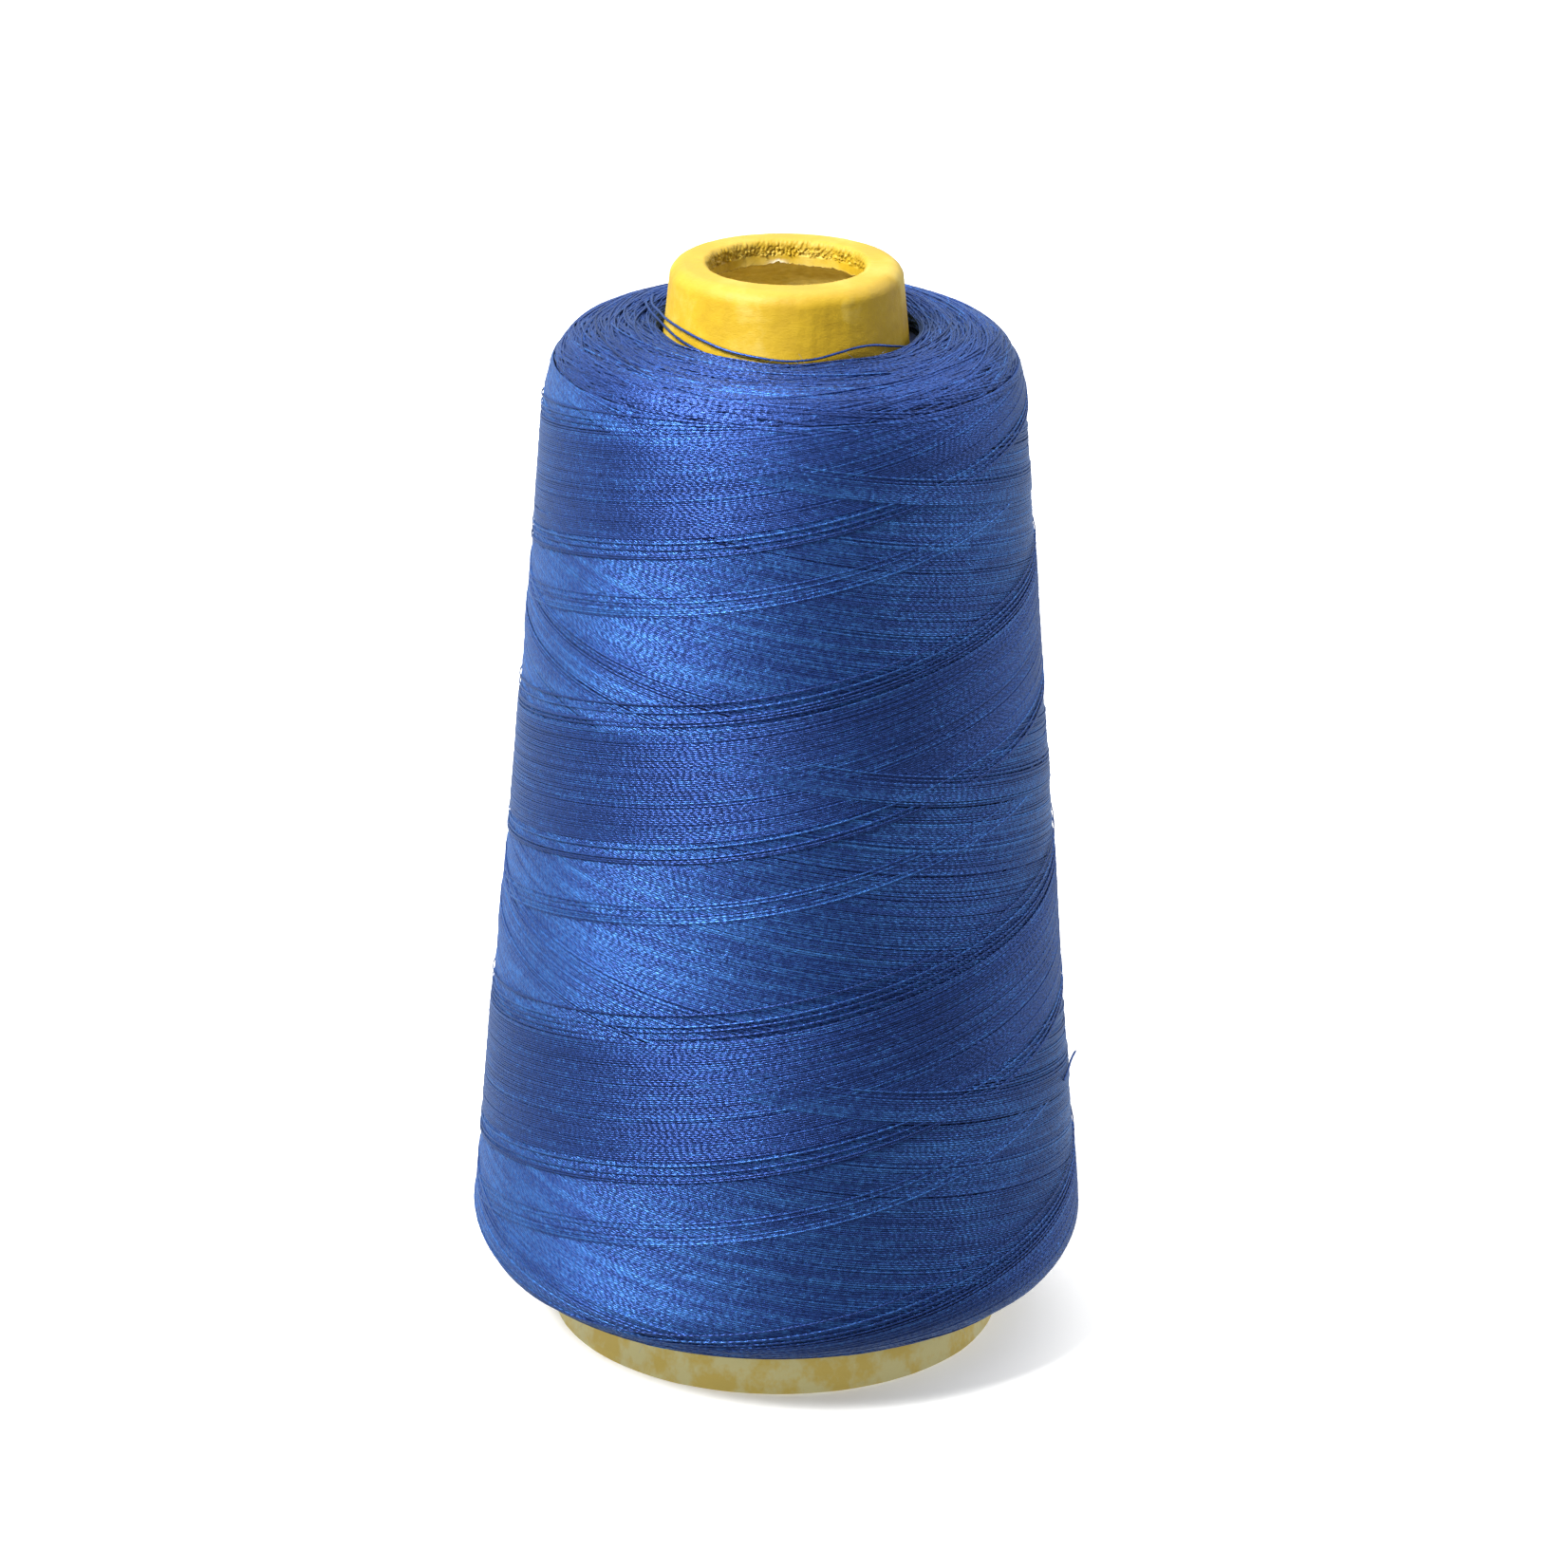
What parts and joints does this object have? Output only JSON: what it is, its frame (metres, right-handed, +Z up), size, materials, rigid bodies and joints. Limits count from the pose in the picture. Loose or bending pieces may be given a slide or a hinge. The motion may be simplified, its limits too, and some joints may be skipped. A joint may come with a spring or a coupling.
{
  "type": "sewing thread cone",
  "caption": "Tapered paper cone cross-wound with sewing thread, standing on its base ring, with an open turned-in nose at the top.",
  "frame": {"origin": "on the cone's axis, at the surface that the base ring stands on", "axes": "+Z up the cone's axis towards the nose, -Y towards the viewer of the front, +X to that viewer's right"},
  "size_m": [0.0944, 0.0944, 0.17],
  "materials": {
    "paperboard": "matte",
    "yellow_paper": "satin",
    "wound_thread": "matte",
    "loose_thread": "matte"
  },
  "bodies": {
    "root": {"cone_board": "paperboard", "cone_cover_ply": "yellow_paper", "thread_package": "wound_thread", "neck_strand_long": "loose_thread", "neck_strand_short": "loose_thread", "thread_end": "loose_thread"}
  },
  "joints": []
}
